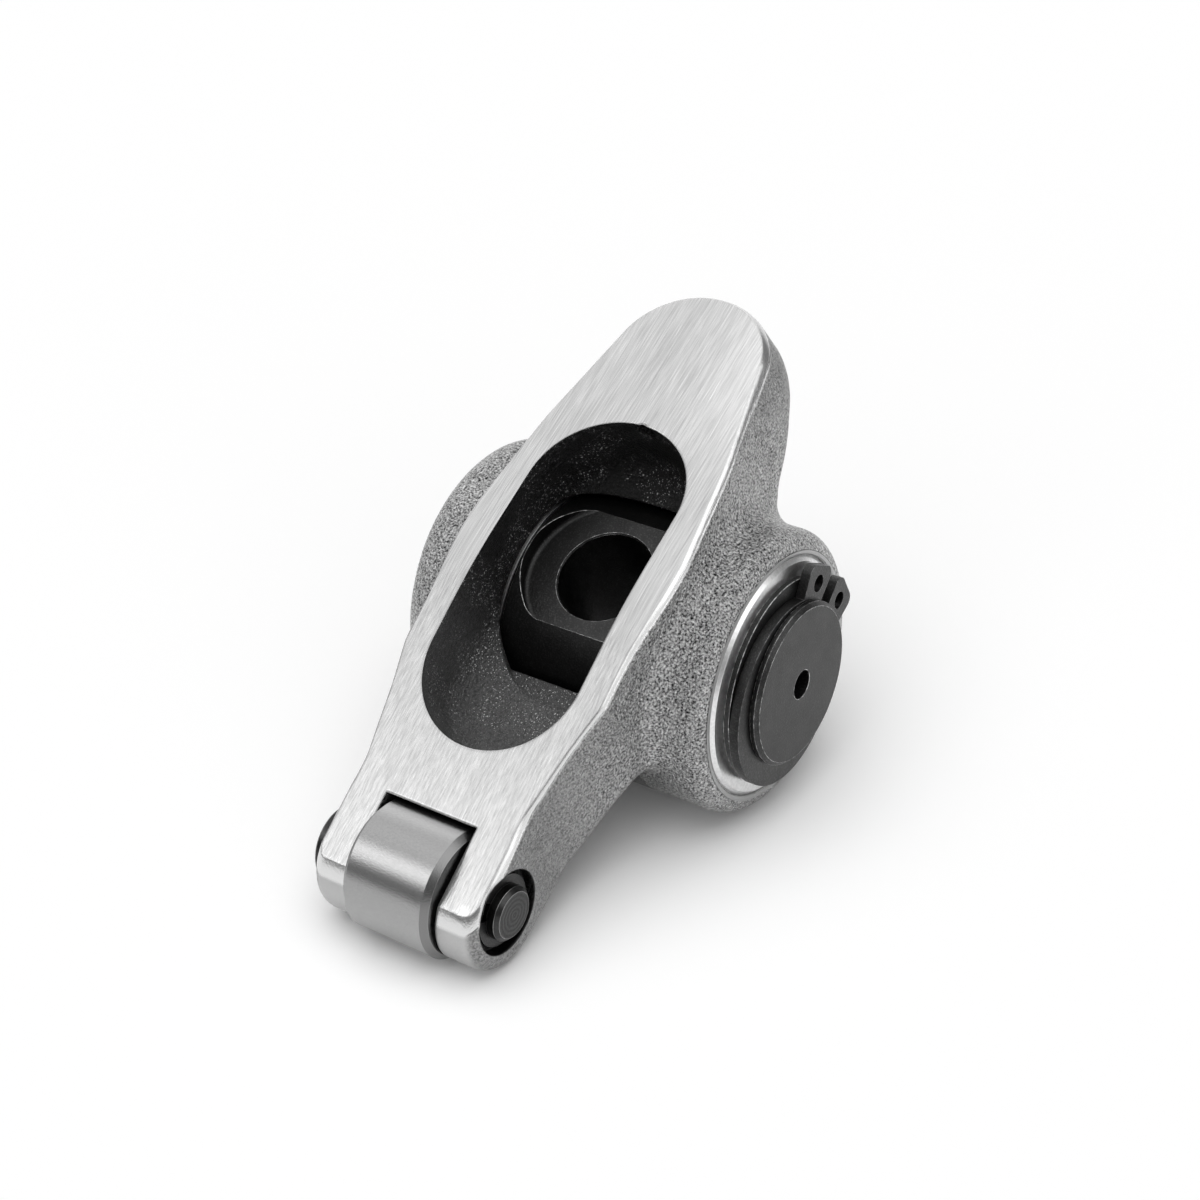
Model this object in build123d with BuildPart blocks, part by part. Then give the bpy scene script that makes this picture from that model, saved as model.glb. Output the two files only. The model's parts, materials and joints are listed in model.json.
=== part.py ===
from build123d import *
from math import asin, atan2, cos, degrees, pi, radians, sin, tan
import os

os.makedirs("parts", exist_ok=True)

# The arm is drawn as it sits on its stud: origin at the middle of the trunnion,
# X towards the roller, Y along the trunnion, Z along the stud.
# At the end every piece is turned into the pose in which the loose arm lies.

# Lever geometry
PIVOT_TO_ROLLER = 36.3
ROLLER_ANGLE = 18.0
RATIO = 1.5
SEAT_ANGLE = 173.0
ROLLER_X = PIVOT_TO_ROLLER * cos(radians(ROLLER_ANGLE))
ROLLER_Z = PIVOT_TO_ROLLER * sin(radians(ROLLER_ANGLE))
SEAT_X = PIVOT_TO_ROLLER / RATIO * cos(radians(SEAT_ANGLE))
SEAT_Z = PIVOT_TO_ROLLER / RATIO * sin(radians(SEAT_ANGLE))

# Clearances, and how far a cut runs on past what it cuts
RUN_GAP = 0.03
FACE_GAP = 0.05
FREE_GAP = 0.3
OVERRUN = 3.0

# Needle bearings on the trunnion's journals
JOURNAL_R = 8.33
NEEDLE_R = 1.19
NEEDLE_COUNT = 18
NEEDLE_LENGTH = 5.25
CAGE_WALL = 0.6
CAGE_LENGTH = NEEDLE_LENGTH + 0.35
NEEDLE_PITCH_R = JOURNAL_R + RUN_GAP + NEEDLE_R
RACE_R = NEEDLE_PITCH_R + NEEDLE_R + RUN_GAP
CUP_WALL = 1.53
CUP_LIP = 0.8
CUP_EDGE = 0.55
CUP_R = RACE_R + CUP_WALL
CUP_LENGTH = CAGE_LENGTH + 2 * (CUP_LIP + 2 * FACE_GAP)
LIP_R = JOURNAL_R + FREE_GAP

# Trunnion, for a 3/8 inch stud; its barrel passes through the bore
STUD_R = 4.7625
STUD_FIT = 0.13
STUD_HOLE_R = STUD_R + STUD_FIT
BARREL_GAP = 0.1
BARREL_R = CUP_R - BARREL_GAP
BARREL_HALF = 8.5
SPOTFACE_DEPTH = 1.9
SPOTFACE_Z = BARREL_R - SPOTFACE_DEPTH
SPOTFACE_R = BARREL_HALF - 0.2
SPOTFACE_ROUND = 0.5
JOURNAL_END = 0.9
END_CHAMFER = 0.4
BARREL_CHAMFER = 0.3
HOLE_CHAMFER = 0.15
CENTRE_R = 1.5
CENTRE_DEPTH = 3.5

# Stack along the trunnion, from the barrel outwards
WASHER = 0.6
RING = 1.0
INNER_WASHER_Y = BARREL_HALF + FACE_GAP
CUP_Y = INNER_WASHER_Y + WASHER + FACE_GAP
CUP_END_Y = CUP_Y + CUP_LENGTH
BEARING_MID_Y = (CUP_Y + CUP_END_Y) / 2
OUTER_WASHER_Y = CUP_END_Y + FACE_GAP
RING_Y = OUTER_WASHER_Y + WASHER + FACE_GAP
TRUNNION_HALF = RING_Y + RING + JOURNAL_END
WASHER_BORE_R = JOURNAL_R + 2 * FACE_GAP
INNER_WASHER_R = BARREL_R - 0.1
OUTER_WASHER_R = CUP_R - 2.0

# Retaining rings on the trunnion
GROOVE_R = JOURNAL_R - 0.6
RING_R = JOURNAL_R + 1.17
RING_OFFSET = 1.15
LUG_ANGLE = 165.0
LUG_SPREAD = 17.0
LUG_R = RING_R + 2.2
LUG_WIDTH = 4.4
LUG_ROUND = 1.0
LUG_EYE_R = 0.9
LUG_EYE_WALL = 0.9
LUG_GAP = 2.0

# Boss round the bearings
BOSS_WALL = 2.19
BOSS_R = CUP_R + BOSS_WALL
BOSS_HALF = CUP_END_Y - 0.2
BOSS_RIM = 2.0
BOSS_BLEND = 3.0
BORE_RELIEF = 0.5

# Roller, its pin and the slot they sit in
ROLLER_R = 6.35
ROLLER_HALF = 4.9
ROLLER_CHAMFER = 0.6
SLOT_HALF = ROLLER_HALF + FREE_GAP
SLOT_R = ROLLER_R + 0.5
EAR_WALL = 4.3
EAR_HALF = SLOT_HALF + EAR_WALL
EAR_R = 5.6
EAR_DROP = 0.8
PIN_R = 2.65
PIN_PROUD = 0.7
PIN_END_Y = EAR_HALF + PIN_PROUD
PIN_CHAMFER = 0.4
PIN_HEAD = 0.95
PIN_HEAD_R = PIN_R + 1.15
PIN_HEAD_Y = EAR_HALF - 0.3
RECESS_DEPTH = 1.3
RECESS_Y = EAR_HALF - RECESS_DEPTH
RECESS_R = PIN_HEAD_R + FREE_GAP
CLIP = 0.6
CLIP_Y = RECESS_Y + 0.15
CLIP_R = RECESS_R - 2 * FREE_GAP
CLIP_GROOVE_R = PIN_R - 0.4
CLIP_ANGLE = 60.0
CLIP_GAP = 1.8

# Pushrod seat, for a 5/16 inch ball end, and the post that holds it
BALL_R = 3.97
SEAT_WALL = 0.8
SEAT_R = BALL_R + RUN_GAP + SEAT_WALL
SEAT_LENGTH = 8.0
SEAT_DROP = 0.6
SEAT_PROUD = 0.3
SEAT_CHAMFER = 0.3
POST_WALL = 1.0
POST_R = SEAT_R + POST_WALL
OIL_R = 1.0
OIL_RUN = 11.0
OIL_RISE = 6.0
OIL_REACH = 14.0

# Cast body, seen from above
TAIL_X = SEAT_X - SEAT_R - 0.75
TAIL_HALF = SEAT_R + 2.1
WAIST_X = 15.5
WAIST_HALF = BOSS_HALF - 2.3
WAIST_R = 12.0
SHOULDER_X = -11.0
SHOULDER_SHARE = 0.54
SHOULDER_HALF = TAIL_HALF + SHOULDER_SHARE * (WAIST_HALF - TAIL_HALF)
SHOULDER_R = 28.0
TAIL_FLARE = atan2(SHOULDER_HALF - TAIL_HALF, SHOULDER_X - TAIL_X)
TAIL_CORNER_R = (TAIL_HALF - 0.1) * tan(pi / 4 + TAIL_FLARE / 2)
NECK_X = ROLLER_X - 7.0
NECK_R = 9.0
NOSE_X = ROLLER_X + EAR_R + OVERRUN

# Cast body, seen from the side
CREST_X = 6.0
CREST_Z = 18.75
CREST_R = 60.0
TAIL_SLOPE = 0.037
NOSE_SLOPE = 0.112
NOSE_Z = ROLLER_Z - EAR_DROP
BELLY_X = 8.0
KEEL_Z = -6.0
HEEL_Z = -3.0
KNEE_X = -18.0
KNEE_Z = 4.5
KNEE_R = 6.0
TIP_X = -26.5
TIP_Z = 11.0
TIP_R = 4.0
TAIL_Z = 12.5
EAR_CORNER_R = 3.0
STOCK = 0.4
EDGE_R = 1.5
TAIL_EDGE_R = 3.0

# Window for the stud and its nut, as wide as the barrel is long
WINDOW_X = 5.1
WINDOW_LENGTH = 36.2
WINDOW_WIDTH = 2 * (BARREL_HALF - FACE_GAP)
WINDOW_FLOOR_Z = 8.0
WINDOW_FLOOR_R = 4.0
POCKET_X = 4.6
POCKET_LENGTH = WINDOW_WIDTH + 1.5
POCKET_DEPTH = 1.4
STUD_SLOT_X = 1.0
STUD_SLOT_LENGTH = 18.0
STUD_SLOT_WIDTH = 2 * STUD_HOLE_R + 1.8

# How the loose arm lies: on both bosses and on the roller
REST_TILT = ROLLER_ANGLE + degrees(asin((BOSS_R - ROLLER_R) / PIVOT_TO_ROLLER))
REST = Location((0, 0, 0), (0, REST_TILT, 0))


def across(y):
    """Plane at this y, drawn as XZ; a negative extrude leads towards +Y."""
    return Plane.XZ.offset(-y)


def top_z(x):
    """Height of the ground top face."""
    if x < CREST_X:
        return CREST_Z - TAIL_SLOPE * (CREST_X - x)
    return CREST_Z - NOSE_SLOPE * (x - CREST_X)


# Boss for the bearings, a shape that the body takes in
with BuildPart() as boss:
    with BuildSketch(Plane.XZ):
        Circle(BOSS_R)
    extrude(amount=BOSS_HALF, both=True)
    fillet(boss.edges().filter_by(GeomType.CIRCLE), BOSS_RIM)

# Hollow for the stud's nut, with a bowl-shaped floor
with BuildPart() as window:
    with BuildSketch(Plane.XY.offset(WINDOW_FLOOR_Z)):
        with Locations((WINDOW_X, 0)):
            SlotOverall(WINDOW_LENGTH, WINDOW_WIDTH)
    extrude(amount=2 * CREST_Z)
    fillet(window.edges().group_by(Axis.Z)[0], WINDOW_FLOOR_R)
    with BuildSketch(Plane.XY.offset(WINDOW_FLOOR_Z - POCKET_DEPTH)):
        with Locations((POCKET_X, 0)):
            SlotOverall(POCKET_LENGTH, WINDOW_WIDTH)
    extrude(amount=POCKET_DEPTH + WINDOW_FLOOR_R)

# Relief between the two bearing seats, with chamfered ends
with BuildPart() as relief:
    with BuildSketch(Plane.XZ):
        Circle(CUP_R + BORE_RELIEF)
    extrude(amount=WINDOW_WIDTH / 2 + BORE_RELIEF, both=True)
    chamfer(relief.edges().filter_by(GeomType.CIRCLE), BORE_RELIEF)

# Cast and ground body
with BuildPart() as rocker_body:
    with BuildSketch(Plane.XY.offset(-2 * BOSS_R)) as plan:
        with BuildLine():
            Polyline(
                (TAIL_X, -TAIL_HALF),
                (SHOULDER_X, -SHOULDER_HALF),
                (WAIST_X, -WAIST_HALF),
                (NECK_X, -EAR_HALF),
                (NOSE_X, -EAR_HALF),
                (NOSE_X, EAR_HALF),
                (NECK_X, EAR_HALF),
                (WAIST_X, WAIST_HALF),
                (SHOULDER_X, SHOULDER_HALF),
                (TAIL_X, TAIL_HALF),
                close=True,
            )
        make_face()
        fillet(plan.vertices().group_by(Axis.X)[0], TAIL_CORNER_R)
        fillet(plan.vertices().filter_by_position(Axis.X, SHOULDER_X - 1, SHOULDER_X + 1), SHOULDER_R)
        fillet(plan.vertices().filter_by_position(Axis.X, WAIST_X - 1, WAIST_X + 1), WAIST_R)
        fillet(plan.vertices().filter_by_position(Axis.X, NECK_X - 1, NECK_X + 1), NECK_R)
    extrude(amount=4 * BOSS_R)
    with BuildSketch(Plane.XZ) as side:
        with Locations((ROLLER_X, NOSE_Z)):
            Circle(EAR_R)
        with BuildLine():
            Polyline(
                (TAIL_X - 1, 2 * CREST_Z),
                (ROLLER_X, 2 * CREST_Z),
                (ROLLER_X, NOSE_Z - EAR_R),
                (BELLY_X, NOSE_Z - EAR_R),
                (0, KEEL_Z),
                (SHOULDER_X, HEEL_Z),
                (KNEE_X, KNEE_Z),
                (TIP_X, TIP_Z),
                (TAIL_X - 1, TAIL_Z),
                close=True,
            )
        make_face()
        with BuildLine():
            Polyline(
                (TAIL_X - 1, top_z(TAIL_X - 1) + STOCK),
                (CREST_X, CREST_Z + STOCK),
                (NOSE_X, top_z(NOSE_X) + STOCK),
                (NOSE_X, 3 * CREST_Z),
                (TAIL_X - 1, 3 * CREST_Z),
                close=True,
            )
        make_face(mode=Mode.SUBTRACT)
        fillet(side.vertices().sort_by_distance((CREST_X, CREST_Z + STOCK))[0], CREST_R)
        fillet(side.vertices().sort_by_distance((KNEE_X, KNEE_Z))[0], KNEE_R)
        fillet(side.vertices().sort_by_distance((TIP_X, TIP_Z))[0], TIP_R)
        fillet(side.vertices().group_by(Axis.X)[-1], EAR_CORNER_R)
    extrude(amount=2 * WAIST_HALF, both=True, mode=Mode.INTERSECT)
    # Cast edges: the upper rim runs on round the ears and under the nose
    outline = [
        edge for edge in rocker_body.edges() if abs(edge.center().Y) > 1 or edge.center().X < TAIL_X + 1
    ]
    upper = [
        edge
        for edge in outline
        if edge.center().X > ROLLER_X or abs(edge.center().Z - top_z(edge.center().X) - STOCK) < 0.6
    ]
    fillet(upper, EDGE_R)
    under_tail = [
        edge
        for edge in rocker_body.edges().filter_by_position(Axis.X, TAIL_X - 1, -16)
        if edge.center().Z < top_z(edge.center().X) - 4
        and abs(edge.tangent_at(0.5).Z) < 0.98
        and (abs(edge.center().Y) > 1 or edge.center().X < TAIL_X + 1)
    ]
    fillet(under_tail, TAIL_EDGE_R)
    # Boss, blended into the sides
    add(boss.part)
    boss_joint = [
        edge
        for face in rocker_body.faces().filter_by(GeomType.CYLINDER)
        if abs(face.radius - BOSS_R) < 0.001
        for edge in face.edges()
        if abs(abs(edge.center().Y) - BOSS_HALF + BOSS_RIM) > 0.01
    ]
    fillet(boss_joint, BOSS_BLEND)
    # Post over the pushrod, flush with the end of the tail
    with BuildSketch(Plane.XY.offset(SEAT_Z + SEAT_DROP)):
        with Locations((SEAT_X, 0)):
            Circle(POST_R)
        add(plan.sketch_local, mode=Mode.INTERSECT)
    extrude(amount=top_z(TAIL_X) + STOCK - EDGE_R - SEAT_Z - SEAT_DROP)
    # Ground top face
    with BuildSketch(Plane.XZ) as ground:
        with BuildLine():
            Polyline(
                (TAIL_X - 1, top_z(TAIL_X - 1)),
                (CREST_X, CREST_Z),
                (NOSE_X, top_z(NOSE_X)),
                (NOSE_X, 3 * CREST_Z),
                (TAIL_X - 1, 3 * CREST_Z),
                close=True,
            )
        make_face()
        fillet(ground.vertices().sort_by_distance((CREST_X, CREST_Z))[0], CREST_R)
    extrude(amount=2 * WAIST_HALF, both=True, mode=Mode.SUBTRACT)
    # Window down to the trunnion, and on through for the stud
    add(window.part, mode=Mode.SUBTRACT)
    with BuildSketch(Plane.XY):
        with Locations((STUD_SLOT_X, 0)):
            SlotOverall(STUD_SLOT_LENGTH, STUD_SLOT_WIDTH)
    extrude(amount=-2 * BOSS_R, mode=Mode.SUBTRACT)
    # Bearing bore, wider between the bearings
    with BuildSketch(Plane.XZ):
        Circle(CUP_R)
    extrude(amount=BOSS_HALF, both=True, mode=Mode.SUBTRACT)
    add(relief.part, mode=Mode.SUBTRACT)
    # Slot, cut by a disc cutter round the roller's axis
    with BuildSketch(Plane.XZ) as cutter:
        with Locations((ROLLER_X, ROLLER_Z)):
            Circle(SLOT_R)
        with Locations((NOSE_X, ROLLER_Z)):
            Rectangle(2 * (NOSE_X - ROLLER_X), 2 * SLOT_R)
    extrude(amount=SLOT_HALF, both=True, mode=Mode.SUBTRACT)
    # Pin holes and their recesses
    with BuildSketch(Plane.XZ):
        with Locations((ROLLER_X, ROLLER_Z)):
            Circle(PIN_R)
    extrude(amount=WAIST_HALF, both=True, mode=Mode.SUBTRACT)
    with BuildSketch(across(RECESS_Y), across(-WAIST_HALF)):
        with Locations((ROLLER_X, ROLLER_Z)):
            Circle(RECESS_R)
    extrude(amount=PIN_HEAD_Y - WAIST_HALF, mode=Mode.SUBTRACT)
    # Pushrod seat hole and the oil drilling from it to the window
    with BuildSketch(Plane.XY.offset(SEAT_Z + SEAT_DROP)):
        with Locations((SEAT_X, 0)):
            Circle(SEAT_R)
    extrude(amount=SEAT_LENGTH, mode=Mode.SUBTRACT)
    with BuildSketch(Plane((SEAT_X, 0, SEAT_Z + SEAT_LENGTH), z_dir=(OIL_RUN, 0, OIL_RISE))):
        Circle(OIL_R)
    extrude(amount=OIL_REACH, mode=Mode.SUBTRACT)

# Hardened seat for the pushrod's ball, pressed into the post
with BuildPart() as pushrod_seat:
    with BuildSketch(Plane.XY.offset(SEAT_Z + SEAT_DROP - SEAT_PROUD)):
        with Locations((SEAT_X, 0)):
            Circle(SEAT_R)
    extrude(amount=SEAT_PROUD + SEAT_LENGTH)
    with Locations((SEAT_X, 0, SEAT_Z)):
        Sphere(BALL_R + RUN_GAP, mode=Mode.SUBTRACT)
        Cylinder(OIL_R, 4 * SEAT_LENGTH, mode=Mode.SUBTRACT)
    rim = pushrod_seat.edges().filter_by(GeomType.CIRCLE).group_by(Axis.Z)[0].sort_by(SortBy.RADIUS)[-1]
    chamfer(rim, SEAT_CHAMFER)

# Cutter for the trunnion's spot face, with a rounded corner
with BuildPart() as spotface:
    with BuildSketch(Plane.XY.offset(SPOTFACE_Z)):
        Circle(SPOTFACE_R)
    extrude(amount=BARREL_R)
    fillet(spotface.edges().group_by(Axis.Z)[0], SPOTFACE_ROUND)

# Trunnion: two journals, a thicker middle with a spot face, and the stud hole
with BuildPart() as trunnion:
    with BuildSketch(Plane.XZ):
        Circle(JOURNAL_R)
    extrude(amount=TRUNNION_HALF, both=True)
    chamfer(trunnion.edges().filter_by(GeomType.CIRCLE), END_CHAMFER)
    with BuildSketch(Plane.XZ):
        Circle(BARREL_R)
    extrude(amount=BARREL_HALF, both=True)
    chamfer(trunnion.edges().filter_by(GeomType.CIRCLE).sort_by(SortBy.RADIUS)[-2:], BARREL_CHAMFER)
    with BuildSketch(across(RING_Y - FACE_GAP), across(-RING_Y - RING - FACE_GAP)):
        Circle(BARREL_R)
        Circle(GROOVE_R, mode=Mode.SUBTRACT)
    extrude(amount=-RING - 2 * FACE_GAP, mode=Mode.SUBTRACT)
    add(spotface.part, mode=Mode.SUBTRACT)
    with BuildSketch(Plane.XY):
        Circle(STUD_HOLE_R)
    extrude(amount=BARREL_R, both=True, mode=Mode.SUBTRACT)
    floor_edges = trunnion.edges().filter_by(GeomType.CIRCLE).filter_by_position(
        Axis.Z, SPOTFACE_Z - FACE_GAP, SPOTFACE_Z + FACE_GAP
    )
    chamfer(floor_edges.sort_by(SortBy.RADIUS)[0], HOLE_CHAMFER)
    # Centre drillings in both ends
    with BuildSketch(across(TRUNNION_HALF), across(-TRUNNION_HALF + CENTRE_DEPTH)):
        Circle(CENTRE_R)
    extrude(amount=CENTRE_DEPTH, mode=Mode.SUBTRACT)

# Drawn cups of the needle bearings, pressed into the bore
with BuildPart() as bearing_cup_left:
    with BuildSketch(across(CUP_Y)):
        Circle(CUP_R)
        Circle(LIP_R, mode=Mode.SUBTRACT)
    extrude(amount=CUP_Y - CUP_END_Y)
    with BuildSketch(across(CUP_Y + CUP_LIP)):
        Circle(RACE_R)
    extrude(amount=CUP_Y - CUP_END_Y + 2 * CUP_LIP, mode=Mode.SUBTRACT)
    chamfer(bearing_cup_left.edges().filter_by(GeomType.CIRCLE).group_by(SortBy.RADIUS)[-1], CUP_EDGE)

with BuildPart() as bearing_cup_right:
    add(mirror(bearing_cup_left.part, about=Plane.XZ, mode=Mode.PRIVATE))

# Cages, each a sleeve with a pocket for every needle
with BuildPart() as bearing_cage_left:
    with BuildSketch(across(BEARING_MID_Y - CAGE_LENGTH / 2)):
        Circle(NEEDLE_PITCH_R + CAGE_WALL / 2)
        Circle(NEEDLE_PITCH_R - CAGE_WALL / 2, mode=Mode.SUBTRACT)
    extrude(amount=-CAGE_LENGTH)
    with BuildSketch(across(BEARING_MID_Y - NEEDLE_LENGTH / 2 - RUN_GAP)):
        with PolarLocations(NEEDLE_PITCH_R, NEEDLE_COUNT):
            Rectangle(2 * CAGE_WALL, 2 * (NEEDLE_R + RUN_GAP))
    extrude(amount=-NEEDLE_LENGTH - 2 * RUN_GAP, mode=Mode.SUBTRACT)

with BuildPart() as bearing_cage_right:
    add(mirror(bearing_cage_left.part, about=Plane.XZ, mode=Mode.PRIVATE))

with BuildPart() as needles_left:
    with BuildSketch(across(BEARING_MID_Y - NEEDLE_LENGTH / 2)):
        with PolarLocations(NEEDLE_PITCH_R, NEEDLE_COUNT):
            Circle(NEEDLE_R)
    extrude(amount=-NEEDLE_LENGTH)

with BuildPart() as needles_right:
    add(mirror(needles_left.part, about=Plane.XZ, mode=Mode.PRIVATE))

# Thrust washers against the barrel's shoulders
with BuildPart() as inner_washer_left:
    with BuildSketch(across(INNER_WASHER_Y)):
        Circle(INNER_WASHER_R)
        Circle(WASHER_BORE_R, mode=Mode.SUBTRACT)
    extrude(amount=-WASHER)

with BuildPart() as inner_washer_right:
    add(mirror(inner_washer_left.part, about=Plane.XZ, mode=Mode.PRIVATE))

# Thrust washers between the cups and the retaining rings
with BuildPart() as outer_washer_left:
    with BuildSketch(across(OUTER_WASHER_Y)):
        Circle(OUTER_WASHER_R)
        Circle(WASHER_BORE_R, mode=Mode.SUBTRACT)
    extrude(amount=-WASHER)

with BuildPart() as outer_washer_right:
    add(mirror(outer_washer_left.part, about=Plane.XZ, mode=Mode.PRIVATE))

# Retaining rings with two lugs each, thinner towards the lugs
with BuildPart() as retaining_ring_left:
    with BuildSketch(across(RING_Y)) as ring:
        with Locations(Rot(0, 0, LUG_ANGLE) * Pos(-RING_OFFSET, 0)):
            Circle(RING_R)
        with PolarLocations(LUG_R / 2, 2, LUG_ANGLE - LUG_SPREAD, 4 * LUG_SPREAD):
            Rectangle(LUG_R, LUG_WIDTH)
        fillet(ring.vertices().filter_by(lambda v: v.center().length > LUG_R), LUG_ROUND)
        with PolarLocations(LUG_R - LUG_EYE_R - LUG_EYE_WALL, 2, LUG_ANGLE - LUG_SPREAD, 4 * LUG_SPREAD):
            Circle(LUG_EYE_R, mode=Mode.SUBTRACT)
        Circle(GROOVE_R + FACE_GAP, mode=Mode.SUBTRACT)
        with Locations(Rot(0, 0, LUG_ANGLE) * Pos(LUG_R, 0)):
            Rectangle(2 * (LUG_R - GROOVE_R), LUG_GAP, mode=Mode.SUBTRACT)
    extrude(amount=-RING)

with BuildPart() as retaining_ring_right:
    add(mirror(retaining_ring_left.part, about=Plane.XZ, mode=Mode.PRIVATE))

# Nose roller
with BuildPart() as roller:
    with BuildSketch(Plane.XZ):
        with Locations((ROLLER_X, ROLLER_Z)):
            Circle(ROLLER_R)
            Circle(PIN_R + RUN_GAP, mode=Mode.SUBTRACT)
    extrude(amount=ROLLER_HALF, both=True)
    chamfer(roller.edges().filter_by(GeomType.CIRCLE).group_by(SortBy.RADIUS)[-1], ROLLER_CHAMFER)

# Roller pin: a knurled head on the right, a groove for the clip on the left
with BuildPart() as roller_pin:
    with BuildSketch(across(PIN_END_Y)):
        with Locations((ROLLER_X, ROLLER_Z)):
            Circle(PIN_R)
    extrude(amount=PIN_END_Y + PIN_HEAD_Y)
    chamfer(roller_pin.edges().filter_by(GeomType.CIRCLE).group_by(Axis.Y)[-1], PIN_CHAMFER)
    with BuildSketch(across(-PIN_HEAD_Y)):
        with Locations((ROLLER_X, ROLLER_Z)):
            Circle(PIN_HEAD_R)
    extrude(amount=PIN_HEAD)
    chamfer(roller_pin.edges().filter_by(GeomType.CIRCLE).group_by(Axis.Y)[0], PIN_CHAMFER / 2)
    with BuildSketch(across(CLIP_Y - FACE_GAP)):
        with Locations((ROLLER_X, ROLLER_Z)):
            Circle(PIN_HEAD_R)
            Circle(CLIP_GROOVE_R, mode=Mode.SUBTRACT)
    extrude(amount=-CLIP - 2 * FACE_GAP, mode=Mode.SUBTRACT)

# Clip in the pin's groove, inside the left recess
with BuildPart() as pin_clip:
    with BuildSketch(across(CLIP_Y)):
        with Locations((ROLLER_X, ROLLER_Z)):
            Circle(CLIP_R)
            Circle(CLIP_GROOVE_R + FACE_GAP, mode=Mode.SUBTRACT)
        with Locations(Pos(ROLLER_X, ROLLER_Z) * Rot(0, 0, CLIP_ANGLE) * Pos(CLIP_R, 0)):
            Rectangle(2 * CLIP_R - CLIP_GROOVE_R, CLIP_GAP, mode=Mode.SUBTRACT)
    extrude(amount=-CLIP)

pieces = {
    "rocker_body": rocker_body,
    "pushrod_seat": pushrod_seat,
    "trunnion": trunnion,
    "bearing_cup_left": bearing_cup_left,
    "bearing_cup_right": bearing_cup_right,
    "bearing_cage_left": bearing_cage_left,
    "bearing_cage_right": bearing_cage_right,
    "needles_left": needles_left,
    "needles_right": needles_right,
    "inner_washer_left": inner_washer_left,
    "inner_washer_right": inner_washer_right,
    "outer_washer_left": outer_washer_left,
    "outer_washer_right": outer_washer_right,
    "retaining_ring_left": retaining_ring_left,
    "retaining_ring_right": retaining_ring_right,
    "roller": roller,
    "roller_pin": roller_pin,
    "pin_clip": pin_clip,
}
for label, piece in pieces.items():
    piece.part.label = label
    piece.part.locate(REST)
    export_step(piece.part, f"parts/{label}.step")
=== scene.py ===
import json
import math

import bmesh
import bpy
from mathutils import Matrix, Vector


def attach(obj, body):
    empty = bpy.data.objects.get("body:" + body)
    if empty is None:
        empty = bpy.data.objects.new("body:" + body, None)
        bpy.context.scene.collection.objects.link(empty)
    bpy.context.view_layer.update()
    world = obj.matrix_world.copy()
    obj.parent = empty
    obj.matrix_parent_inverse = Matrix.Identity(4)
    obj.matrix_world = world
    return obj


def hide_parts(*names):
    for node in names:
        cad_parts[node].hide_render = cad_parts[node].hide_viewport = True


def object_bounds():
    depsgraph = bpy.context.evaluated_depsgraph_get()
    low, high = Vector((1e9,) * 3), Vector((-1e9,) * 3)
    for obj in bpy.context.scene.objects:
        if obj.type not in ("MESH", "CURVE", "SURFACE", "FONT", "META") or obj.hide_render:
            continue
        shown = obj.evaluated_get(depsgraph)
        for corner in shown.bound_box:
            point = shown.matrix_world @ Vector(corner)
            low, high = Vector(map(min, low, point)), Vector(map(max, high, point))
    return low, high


MM = 0.001
WHITE = (1.0, 1.0, 1.0, 1.0)

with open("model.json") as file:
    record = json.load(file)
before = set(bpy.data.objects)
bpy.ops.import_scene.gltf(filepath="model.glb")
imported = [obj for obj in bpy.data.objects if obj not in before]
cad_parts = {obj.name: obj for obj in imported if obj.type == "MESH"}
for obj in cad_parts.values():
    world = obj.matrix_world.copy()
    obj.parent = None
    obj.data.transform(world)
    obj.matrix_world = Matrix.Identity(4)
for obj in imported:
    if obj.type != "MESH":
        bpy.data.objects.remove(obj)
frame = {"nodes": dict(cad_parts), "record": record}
cad_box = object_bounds()
nodes = frame["nodes"]

# Sizes of the arm, in millimetres, in the frame in which it sits on its stud:
# x along the arm to the roller, y along the trunnion, z up along the stud
REST_TILT = math.radians(30.958)
CREST_X, CREST_Z = 6.0, 18.75
TAIL_SLOPE, NOSE_SLOPE = 0.037, 0.112
WINDOW_X = 5.1
WINDOW_HALF = 8.45
WINDOW_RUN = 18.1 - WINDOW_HALF
RELIEF_R = 12.8
BOSS_R = 14.49
BOSS_HALF = 16.4
BOSS_RIM = 1.6
ROLLER_X, ROLLER_Z = 34.52, 11.22
SLOT_HALF = 5.2
RECESS_R = 4.1

# The casting's plan: half its width at each x
PLAN = ((-29.6, 6.9), (-11.0, 10.8), (15.5, 14.1), (27.5, 9.5), (41.0, 9.5))

# How the casting differs from its node. A pair says where a change starts and where it is full.
WAIST_DRAW = 2.4
WAIST_FROM_TAIL, WAIST_FROM_NOSE, WAIST_UP = (-1.0, 15.0), (31.0, 15.5), (-2.0, 4.0)
TAIL_FLARE = 1.0
FLARE_ALONG, FLARE_DOWN, FLARE_UP = (-14.0, -22.0), (17.5, 13.5), (3.0, 8.0)
FAR_BOSS_R = 16.0
SWELL_OUT, SWELL_UP = (12.0, 15.0), (-0.7, 0.3)
FAR_BOSS_REACH = 2.0
REACH_OUT = (13.5, 16.0)

# How finely the casting's sides are cut before they are moved, and its smooth edges' angle
FACET = 1.6
FACET_CUTS = 6
FACET_FROM = 6.0
WELD = 0.001
SHARP_ANGLE = math.radians(25)


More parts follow.
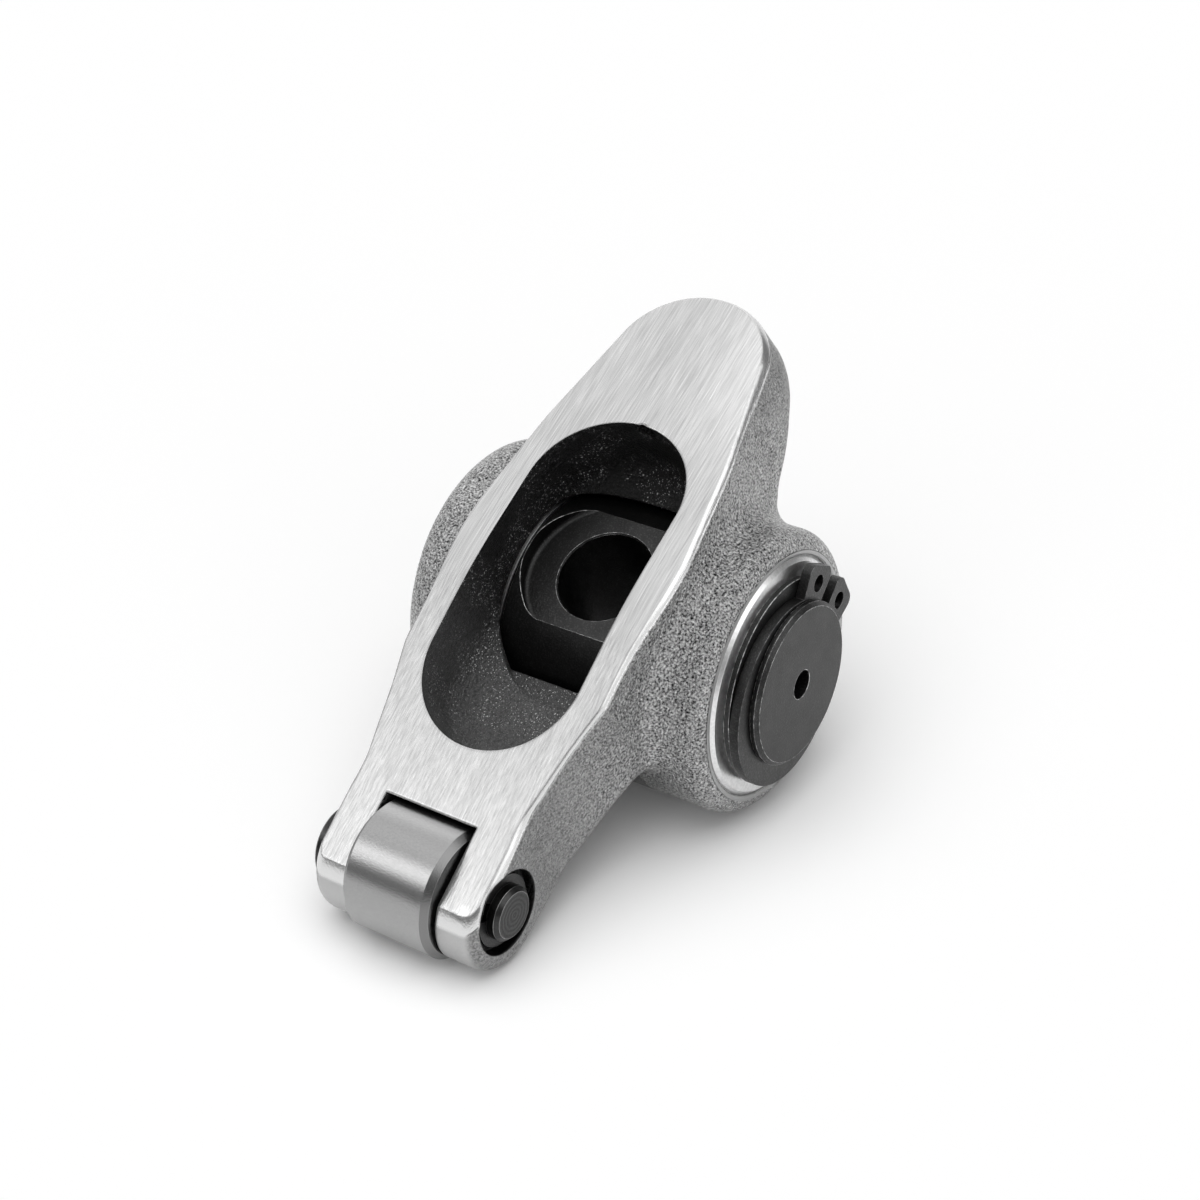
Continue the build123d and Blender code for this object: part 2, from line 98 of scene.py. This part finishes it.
class Graph:
    """The node graph of one material, with short calls for the nodes used here."""

    def __init__(self, name):
        self.material = bpy.data.materials.new(name)
        self.material.use_nodes = True
        self.tree = self.material.node_tree
        self.shader = self.tree.nodes["Principled BSDF"]

    def node(self, kind, inputs, output=0, **settings):
        """Adds a node, sets or links its inputs by index or name, and returns one output."""
        node = self.tree.nodes.new("ShaderNode" + kind)
        for key, value in settings.items():
            setattr(node, key, value)
        for key, value in inputs.items():
            self.put(node.inputs[key], value)
        return node.outputs[output]

    def put(self, socket, value):
        if isinstance(value, bpy.types.NodeSocket):
            self.tree.links.new(value, socket)
        else:
            socket.default_value = value

    def math(self, operation, a, b=0.0):
        return self.node("Math", {0: a, 1: b}, operation=operation)

    def plus(self, *terms):
        total = terms[0]
        for term in terms[1:]:
            total = self.math("ADD", total, term)
        return total

    def times(self, *factors):
        product = factors[0]
        for factor in factors[1:]:
            product = self.math("MULTIPLY", product, factor)
        return product

    def less(self, a, b):
        return self.math("SUBTRACT", a, b)

    def most(self, a, b):
        return self.math("MAXIMUM", a, b)

    def far(self, a):
        """Size of a number without its sign."""
        return self.math("ABSOLUTE", a)

    def other(self, a):
        """1 where a is 0, and 0 where it is 1."""
        return self.less(1.0, a)

    def size(self, *parts):
        """Length of the vector that has these parts."""
        return self.math("SQRT", self.plus(*(self.math("POWER", part, 2.0) for part in parts)))

    def step(self, value, low, high, to_low=0.0, to_high=1.0):
        """Goes smoothly from to_low to to_high as value goes from low to high."""
        inputs = {"Value": value, "From Min": low, "From Max": high, "To Min": to_low, "To Max": to_high}
        return self.node("MapRange", inputs, interpolation_type="SMOOTHSTEP")

    def fall(self, value, low, high):
        """Goes smoothly from 1 to 0 as value goes from low to high."""
        return self.step(value, low, high, 1.0, 0.0)

    def mix(self, factor, a, b):
        return self.node("Mix", {0: factor, 2: a, 3: b}, data_type="FLOAT")

    def on_stud(self, vector):
        """Turns a vector into the frame in which the arm sits on its stud."""
        return self.node("VectorRotate", {"Vector": vector, "Angle": -REST_TILT}, rotation_type="Y_AXIS")

    def place(self):
        """Object coordinates in millimetres, in that frame."""
        coordinates = self.node("TexCoord", {}, output="Object")
        return self.on_stud(self.node("VectorMath", {0: coordinates, "Scale": 1 / MM}, operation="SCALE"))

    def facing(self):
        """The surface's direction in that frame."""
        return self.on_stud(self.node("TexCoord", {}, output="Normal"))

    def axes(self, vector):
        node = self.tree.nodes.new("ShaderNodeSeparateXYZ")
        self.put(node.inputs[0], vector)
        return node.outputs

    def noise(self, vector, grain, detail=2.0, stretch=(1, 1, 1), roughness=0.5):
        """Noise whose features are about grain millimetres across, stretched along the axes."""
        scaled = self.node("VectorMath", {0: vector, 1: tuple(1 / s for s in stretch)}, operation="MULTIPLY")
        inputs = {"Vector": scaled, "Scale": 1 / grain, "Detail": detail, "Roughness": roughness}
        return self.node("TexNoise", inputs)

    def bump(self, height, distance, normal=None):
        """Bump of a height field; distance is in millimetres."""
        inputs = {"Height": height, "Distance": distance * MM}
        if normal is not None:
            inputs["Normal"] = normal
        return self.node("Bump", inputs)

    def rounded(self, radius):
        """Normal of the surface with its edges rounded."""
        return self.node("Bevel", {"Radius": radius * MM}, samples=8)

    def edges(self, radius):
        """1 on sharp edges, 0 elsewhere."""
        smooth = self.rounded(radius)
        true = self.node("NewGeometry", {}, output="Normal")
        same = self.node("VectorMath", {0: smooth, 1: true}, output="Value", operation="DOT_PRODUCT")
        return self.fall(same, 0.9, 0.99)

    def finish(self, grey, roughness, normal=None, metallic=1.0):
        """Sets the shader's colour, gloss and normal."""
        if isinstance(grey, bpy.types.NodeSocket):
            grey = self.node("CombineColor", {0: grey, 1: grey, 2: grey})
        else:
            grey = (grey, grey, grey, 1.0)
        self.put(self.shader.inputs["Base Color"], grey)
        self.put(self.shader.inputs["Roughness"], roughness)
        self.put(self.shader.inputs["Metallic"], metallic)
        if normal is not None:
            self.put(self.shader.inputs["Normal"], normal)
        return self.material


def cast_steel():
    """The casting: brushed top, polished rims, grainy sides, window painted dark, turned boss faces; painted
    highlights on the tail and the rims, and painted shade in the window, the roller slot, the pin recesses
    and away from the bosses.
    """
    graph = Graph("cast_steel")
    place = graph.place()
    x, y, z = graph.axes(place)
    face_y, face_z = graph.axes(graph.facing())[1:]
    across = graph.far(y)

    # Depth below the ground face, and distance from the window's middle line
    tail_top = graph.plus(graph.times(x, TAIL_SLOPE), CREST_Z - TAIL_SLOPE * CREST_X)
    nose_top = graph.plus(graph.times(x, -NOSE_SLOPE), CREST_Z + NOSE_SLOPE * CREST_X)
    depth = graph.less(graph.math("MINIMUM", tail_top, nose_top), z)
    along = graph.far(graph.less(x, WINDOW_X))
    reach = graph.size(graph.most(graph.less(along, WINDOW_RUN), 0.0), y)

    # Ground top, the window's inside, which is painted dark as painted shade, and the polished outer rim
    ground = graph.times(graph.step(face_z, 0.955, 0.975), graph.fall(depth, 0.6, 0.7))
    inside = graph.times(graph.fall(reach, WINDOW_HALF + 0.03, WINDOW_HALF + 0.06), graph.other(ground))
    rim = graph.times(graph.step(face_z, 0.1, 0.3), graph.fall(depth, 0.9, 1.3), graph.other(inside))

    # Bore, turned face round it, nose, roller slot and pin recesses
    radius = graph.size(x, z)
    bore = graph.times(graph.fall(radius, RELIEF_R - 0.1, RELIEF_R + 0.05), graph.step(across, 7.0, 7.5))
    on_face = graph.step(across, BOSS_HALF - 0.05, BOSS_HALF - 0.02)
    turned = graph.times(graph.fall(radius, BOSS_R - BOSS_RIM - 0.3, BOSS_R - BOSS_RIM), on_face)
    nose = graph.times(graph.step(x, 30.0, 34.0), graph.fall(graph.far(face_y), 0.25, 0.75))
    slot = graph.times(graph.fall(across, SLOT_HALF - 0.1, SLOT_HALF + 0.02), graph.step(x, 26.0, 26.5))
    pin_round = graph.size(graph.less(x, ROLLER_X), graph.less(z, ROLLER_Z))
    in_ear = graph.step(across, SLOT_HALF + 0.1, SLOT_HALF + 0.3)
    recess = graph.times(graph.fall(pin_round, RECESS_R + 0.02, RECESS_R + 0.08), in_ear)

    # Brushed ground face, with lines along the arm, and a painted highlight that makes it brighter at one
    # side of the tail
    lines = graph.noise(place, 0.16, 2.0, (50, 1, 1))
    broad = graph.noise(place, 1.2, 1.0, (12, 1, 1))
    scratch = graph.step(graph.noise(place, 0.14, 1.0, (40, 1, 1)), 0.68, 0.76)
    # Painted highlight: the ground face lighter toward the tail on one side
    painted_tail_highlight = graph.times(graph.fall(x, -26.0, -6.0), graph.step(y, 0.0, 9.0))
    brushed = graph.plus(graph.times(lines, 0.42), graph.times(broad, 0.1), graph.times(scratch, 0.1))
    ground_grey = graph.plus(0.275, brushed, graph.times(painted_tail_highlight, 0.16))

    # Cast grain, coarsest round the bosses; the same mask lightens the casting round the bosses, so it is
    # darker away from them, a painted shade
    grain = graph.noise(place, 0.3, 2.0, roughness=0.6)
    fine = graph.noise(place, 0.12, 2.0)
    clouds = graph.noise(place, 4.0, 2.0)
    speck = graph.step(fine, 0.6, 0.72)
    grain_and_painted_shade = graph.step(radius, 16.0, 30.0, 1.0, 0.35)
    pits = graph.times(grain_and_painted_shade, graph.less(graph.noise(place, 0.22, 2.0, roughness=0.6), 0.5), 2.0)
    cast_grey = graph.plus(0.17, graph.times(grain_and_painted_shade, 0.12), graph.times(clouds, 0.12), pits)
    nose_grey = graph.plus(0.42, graph.times(fine, 0.12))

    # Window painted dark as painted shade, with painted glints as bright specks in clusters, and painted
    # light on a greyer bowl at the nose end
    clusters = graph.step(graph.noise(place, 3.5, 1.0), 0.4, 0.6)
    # Painted glints: bright specks in clusters inside the window's painted shade
    painted_glint = graph.times(graph.step(graph.noise(place, 0.17, 1.0), 0.64, 0.72), clusters)
    # Painted light: the bowl at the nose end greyer than the window's painted shade
    bowl = graph.step(x, 4.0, 15.0)
    bowl_painted_light = graph.plus(graph.times(bowl, grain, 0.13), graph.times(bowl, speck, 0.16))
    window_painted_shade = graph.plus(0.006, graph.times(speck, 0.03), bowl_painted_light, graph.times(painted_glint, 0.6))

    grey = graph.mix(nose, cast_grey, nose_grey)
    # Painted shade: the roller slot and the pin recesses painted dark
    grey = graph.mix(graph.most(slot, recess), grey, 0.05)
    # Painted shade: the window's inside painted nearly black
    grey = graph.mix(inside, grey, window_painted_shade)
    grey = graph.mix(bore, grey, 0.5)
    grey = graph.mix(turned, grey, 0.4)
    # Polished rim, painted lighter than the ground face: its polish and a painted highlight
    grey = graph.mix(rim, grey, 0.72)
    grey = graph.mix(ground, grey, ground_grey)
    roughness = graph.mix(ground, graph.mix(rim, 0.34, 0.22), 0.27)
    rough = graph.plus(graph.times(grain, 0.8), graph.times(fine, 0.2))
    height = graph.mix(graph.most(nose, graph.most(bore, turned)), rough, graph.times(fine, 0.15))
    height = graph.mix(graph.most(rim, ground), height, graph.times(lines, 0.05))
    normal = graph.bump(height, 0.34, graph.rounded(0.35))
    return graph.finish(grey, roughness, normal, graph.other(inside))


def black_steel(name="black_steel", dark=0.03, worn_and_highlight=0.85, wear_and_highlight_radius=0.16):
    """Black oxide over ground steel, lighter on its edges: rubbed wear and a painted highlight."""
    graph = Graph(name)
    place = graph.place()
    wear_and_highlight = graph.edges(wear_and_highlight_radius)
    patchy = graph.step(graph.noise(place, 0.5, 3.0), 0.38, 0.62, 0.15, 1.0)
    grain = graph.noise(place, 0.16, 2.0)
    speck = graph.step(grain, 0.5, 0.7)
    base = graph.plus(dark, graph.times(graph.noise(place, 2.0, 3.0), dark), graph.times(speck, dark))
    # Edges lighter: rubbed wear and a painted highlight
    grey = graph.mix(graph.times(wear_and_highlight, patchy), base, worn_and_highlight)
    return graph.finish(grey, 0.38, graph.bump(grain, 0.03, graph.rounded(0.1)))


def bright_steel(name, grey, roughness, spread=0.06):
    """Plain machined steel, whose tone wanders a little."""
    graph = Graph(name)
    marks = graph.noise(graph.place(), 0.3, 3.0)
    tone = graph.step(marks, 0.3, 0.7, grey - spread, grey + spread)
    return graph.finish(tone, roughness, graph.bump(marks, 0.008, graph.rounded(0.08)))


def roller_steel():
    """The roller: satin round its tread, darker chamfers and ends."""
    graph = Graph("ground_steel")
    satin = graph.noise(graph.place(), 0.14, 3.0, (1, 2, 1))
    side = graph.step(graph.far(graph.axes(graph.facing())[1]), 0.3, 0.6)
    grey = graph.mix(side, graph.plus(0.31, graph.times(satin, 0.1)), 0.22)
    grey = graph.mix(graph.edges(0.1), grey, 0.5)
    return graph.finish(grey, 0.27, graph.bump(satin, 0.01, graph.rounded(0.06)))


def pin_steel():
    """Pin and seat: dark hardened steel with turning rings on the pin's end and bright edges."""
    graph = Graph("hard_steel")
    place = graph.place()
    x, _, z = graph.axes(place)
    ring = graph.size(graph.less(x, ROLLER_X), graph.less(z, ROLLER_Z))
    rings = graph.math("SINE", graph.plus(graph.times(ring, 14.0), graph.times(graph.noise(place, 0.8), 5.0)))
    end = graph.step(graph.far(graph.axes(graph.facing())[1]), 0.9, 0.97)
    grain = graph.noise(place, 0.2, 3.0)
    base = graph.plus(0.025, graph.times(grain, 0.05), graph.times(end, rings, 0.012))
    grey = graph.mix(graph.edges(0.12), base, 0.6)
    height = graph.plus(grain, graph.times(end, rings, 0.5))
    return graph.finish(grey, 0.3, graph.bump(height, 0.01, graph.rounded(0.08)))


FINISHES = {
    "cast_steel": cast_steel(),
    "black_steel": black_steel(),
    "spring_steel": black_steel("spring_steel", 0.035, 0.3, 0.08),
    "hard_steel": pin_steel(),
    "bearing_steel": bright_steel("bearing_steel", 0.78, 0.3),
    "cage_steel": bright_steel("cage_steel", 0.5, 0.35),
    "ground_steel": roller_steel(),
}


def rise(value, start, full):
    """Goes smoothly from 0 to 1 as value goes from start to full."""
    t = min(max((value - start) / (full - start), 0.0), 1.0)
    return t * t * (3.0 - 2.0 * t)


def plan_half(x):
    """Half the casting's width at x, seen from above."""
    for (x0, y0), (x1, y1) in zip(PLAN, PLAN[1:]):
        if x <= x1:
            return y0 + (y1 - y0) * (x - x0) / (x1 - x0)
    return PLAN[-1][1]


def reshaped(x, y, z):
    """Where a point of the casting goes: waist drawn in, tail flared below its top, far boss grown."""
    wide = plan_half(x)
    side = abs(y)
    draw = WAIST_DRAW * min(rise(x, *WAIST_FROM_TAIL), rise(x, *WAIST_FROM_NOSE)) * rise(z, *WAIST_UP)
    if WINDOW_HALF < side < wide:
        side -= draw * (side - WINDOW_HALF) / (wide - WINDOW_HALF)
    elif wide <= side < BOSS_HALF:
        side -= draw * (BOSS_HALF - side) / (BOSS_HALF - wide)
    flare = TAIL_FLARE * rise(x, *FLARE_ALONG) * rise(z, *FLARE_DOWN) * rise(z, *FLARE_UP)
    side += flare * min(side / wide, 1.0)
    if y < 0:
        radius = math.hypot(x, z)
        if radius > RELIEF_R:
            height = z * math.cos(REST_TILT) - x * math.sin(REST_TILT)
            grown = (FAR_BOSS_R - BOSS_R) * rise(side, *SWELL_OUT) * rise(height / radius, *SWELL_UP)
            swell = 1 + grown / BOSS_R * (radius - RELIEF_R) / (BOSS_R - RELIEF_R)
            x, z = x * swell, z * swell
        side += FAR_BOSS_REACH * rise(side, *REACH_OUT)
    return x, math.copysign(side, y), z


def turn_and_scale(shape, turn, scale):
    bmesh.ops.rotate(shape, verts=shape.verts, cent=(0, 0, 0), matrix=turn)
    bmesh.ops.scale(shape, verts=shape.verts, vec=(scale,) * 3)


def is_coarse(edge):
    """True for a long edge in the casting's sides."""
    return edge.calc_length() > FACET and max(abs(vertex.co.y) for vertex in edge.verts) > FACET_FROM


def casting():
    """The casting as the photograph has it, made from its node."""
    shape = bmesh.new()
    shape.from_mesh(nodes["rocker_body"].data)
    bmesh.ops.remove_doubles(shape, verts=shape.verts, dist=WELD * MM)
    turn = Matrix.Rotation(-REST_TILT, 3, "Y")
    turn_and_scale(shape, turn, 1 / MM)
    for _ in range(FACET_CUTS):
        coarse = [edge for edge in shape.edges if is_coarse(edge)]
        bmesh.ops.subdivide_edges(shape, edges=coarse, cuts=1)
    bmesh.ops.triangulate(shape, faces=shape.faces)
    for vertex in shape.verts:
        vertex.co = reshaped(*vertex.co)
    for face in shape.faces:
        face.smooth = True
        face.material_index = 0
    for edge in shape.edges:
        edge.smooth = len(edge.link_faces) == 2 and edge.calc_face_angle() < SHARP_ANGLE
    turn_and_scale(shape, turn.transposed(), MM)
    mesh = bpy.data.meshes.new("casting")
    shape.to_mesh(mesh)
    node_normals = mesh.attributes.get("custom_normal")
    if node_normals:
        mesh.attributes.remove(node_normals)
    mesh.materials.append(FINISHES["cast_steel"])
    piece = bpy.data.objects.new("casting", mesh)
    bpy.context.collection.objects.link(piece)
    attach(piece, "arm")
    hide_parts("rocker_body")


def dress_nodes():
    """Gives every node its finish, by its material slot in the record."""
    for part in frame["record"]["subparts"]:
        node = nodes[part["node"]]
        for slot in node.material_slots:
            slot.material = FINISHES[part["material_slot"]]


def floor():
    """A plain pale table, which keeps the arm's shadow."""
    half = 2.0
    level = cad_box[0][2]
    corners = [(-half, -half, level), (half, -half, level), (half, half, level), (-half, half, level)]
    mesh = bpy.data.meshes.new("table")
    mesh.from_pydata(corners, [], [(0, 1, 2, 3)])
    table = bpy.data.objects.new("table", mesh)
    bpy.context.collection.objects.link(table)
    graph = Graph("table")
    path = graph.tree.nodes.new("ShaderNodeLightPath")
    seen = graph.most(path.outputs["Is Camera Ray"], path.outputs["Is Glossy Ray"])
    graph.finish(0.95, 0.9, None, 0.0)
    graph.put(graph.shader.inputs["Specular IOR Level"], 0.0)
    graph.put(graph.shader.inputs["Emission Color"], WHITE)
    graph.put(graph.shader.inputs["Emission Strength"], graph.times(seen, 0.03))
    mesh.materials.append(graph.material)


class Tent(Graph):
    """The studio round the arm: how bright it is in each direction."""

    def __init__(self):
        self.world = bpy.data.worlds.new("studio")
        self.world.use_nodes = True
        self.tree = self.world.node_tree
        self.background = self.tree.nodes["Background"]
        bpy.context.scene.world = self.world

    def patch(self, direction, outer, inner, level):
        """A soft panel in one direction; outer and inner are its edge's angles in degrees."""
        ray = self.node("TexCoord", {}, output="Generated")
        toward = tuple(Vector(direction).normalized())
        turn = self.node("VectorMath", {0: ray, 1: toward}, output="Value", operation="DOT_PRODUCT")
        return self.step(turn, math.cos(math.radians(outer)), math.cos(math.radians(inner)), 0.0, level)

    def light(self, reflected, cast):
        """White where the camera sees it, one level in reflections and one for light on dull surfaces."""
        path = self.tree.nodes.new("ShaderNodeLightPath").outputs
        level = self.mix(path["Is Glossy Ray"], cast, reflected)
        self.put(self.background.inputs["Color"], WHITE)
        self.put(self.background.inputs["Strength"], self.mix(path["Is Camera Ray"], level, 1.0))


def studio():
    """A soft box overhead, a panel in front, one at the right, and a white wall behind at the left."""
    tent = Tent()
    soft_box = (0.0, -0.30, 0.95)
    front_panel = (0.6, -0.53, 0.6)
    right_panel = (-0.2, 0.85, 0.45)
    back_wall = (-0.8, -0.6, 0.0)
    reflected = tent.plus(
        0.2,
        tent.patch(soft_box, 66, 42, 0.75),
        tent.patch(soft_box, 22, 6, 0.3),
        tent.patch(front_panel, 16, 9, 1.6),
        tent.patch(right_panel, 30, 18, 1.5),
        tent.patch(back_wall, 55, 35, 0.7),
    )
    overhead = (0.1, 0.0, 1.0)
    camera_side = (0.75, 0.45, 0.45)
    cast = tent.plus(0.12, tent.patch(overhead, 44, 18, 2.4), tent.patch(camera_side, 55, 30, 0.8))
    tent.light(reflected, cast)


def camera():
    """The photograph's camera: where it stands, where it looks, its roll and lens."""
    place = Vector((161.124, 110.312, 121.668)) * MM
    right = Vector((-0.56706, 0.82317, -0.02893))
    up = Vector((-0.43194, -0.26728, 0.86139))
    lens = bpy.data.cameras.new("camera")
    lens.sensor_width = 36.0
    lens.lens = 68.325
    lens.shift_x = 0.00312
    lens.shift_y = -0.02307
    lens.clip_start = 0.01
    holder = bpy.data.objects.new("camera", lens)
    turn = Matrix((right, up, right.cross(up))).transposed()
    holder.matrix_world = Matrix.Translation(place) @ turn.to_4x4()
    bpy.context.collection.objects.link(holder)
    bpy.context.scene.camera = holder


dress_nodes()
casting()
floor()
studio()
camera()
bpy.context.scene.view_settings.view_transform = "Standard"
